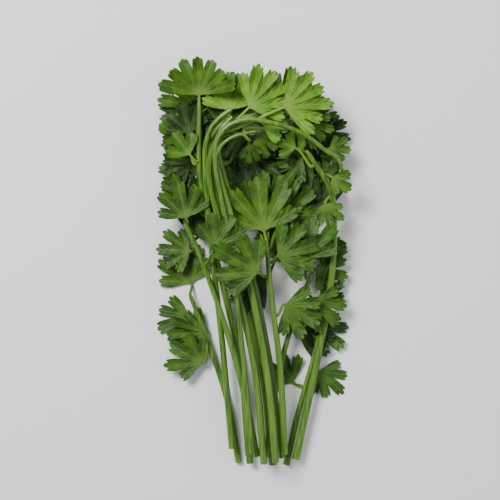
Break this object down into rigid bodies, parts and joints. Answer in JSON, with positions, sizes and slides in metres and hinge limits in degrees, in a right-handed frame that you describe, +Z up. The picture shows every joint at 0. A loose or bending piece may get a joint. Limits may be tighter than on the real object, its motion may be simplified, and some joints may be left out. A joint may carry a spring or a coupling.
{
  "type": "parsley bunch",
  "caption": "Loose bunch of cut flat-leaf parsley lying flat: arching green stems with cut ends, a cupped leaf, fan leaves and small toothed leaflets.",
  "frame": {"origin": "middle of the bounding box, on the surface that the bunch lies on", "axes": "+Y from the cut ends to the leafy tops, +Z up from the surface, +X to the right seen from above"},
  "size_m": [0.0858, 0.1768, 0.0272],
  "materials": {
    "stem": "smooth, slightly glossy living stem",
    "leaf": "waxy satin leaf",
    "leaf_dark": "waxy satin leaf, dark"
  },
  "bodies": {
    "root": {"back_stem": "stem", "low_right_stem": "stem", "low_left_stem": "stem", "right_stem": "stem", "upper_arch_stem": "stem", "hero_stem": "stem", "cut_stem": "stem", "mid_left_stem": "stem", "mid_right_stem": "stem", "middle_stem": "stem", "fan_stem": "stem", "lower_arch_stem": "stem", "thin_arch_stem": "stem", "centre_stem": "stem", "back_leaf_left": "leaf_dark", "back_leaf_right": "leaf_dark", "deep_leaf_left": "leaf_dark", "deep_leaf_right": "leaf_dark", "low_right_leaf_01": "leaf", "low_right_leaf_02": "leaf", "low_right_leaf_03": "leaf", "low_left_leaf_01": "leaf", "low_left_leaf_02": "leaf", "low_left_leaf_03": "leaf", "dark_curled_leaf": "leaf_dark", "dark_curled_leaf_low": "leaf_dark", "dull_leaf": "leaf", "behind_cup_leaf": "leaf", "under_cup_leaf": "leaf", "lower_left_leaf": "leaf", "left_edge_leaf": "leaf", "dark_left_leaf": "leaf_dark", "left_light_leaf": "leaf", "edge_leaf_01": "leaf", "edge_leaf_02": "leaf", "right_leaf_01": "leaf", "right_leaf_02": "leaf", "right_leaf_03": "leaf", "mid_left_leaf_01": "leaf", "mid_left_leaf_02": "leaf", "mid_left_leaf_03": "leaf", "toothed_leaf": "leaf", "toothed_leaf_low": "leaf", "pointed_leaf": "leaf", "rounded_left_leaf": "leaf", "light_edge_leaf": "leaf", "edge_leaf_top": "leaf", "broad_leaf": "leaf", "small_round_leaf": "leaf", "centre_leaf_01": "leaf", "centre_leaf_02": "leaf", "centre_leaf_03": "leaf", "centre_leaf_04": "leaf", "hand_leaf": "leaf", "rounded_leaf": "leaf", "narrow_leaf": "leaf", "right_fan_leaf": "leaf", "upper_fan_leaf": "leaf", "central_fan_leaf": "leaf", "cupped_leaf": "leaf"}
  },
  "joints": []
}
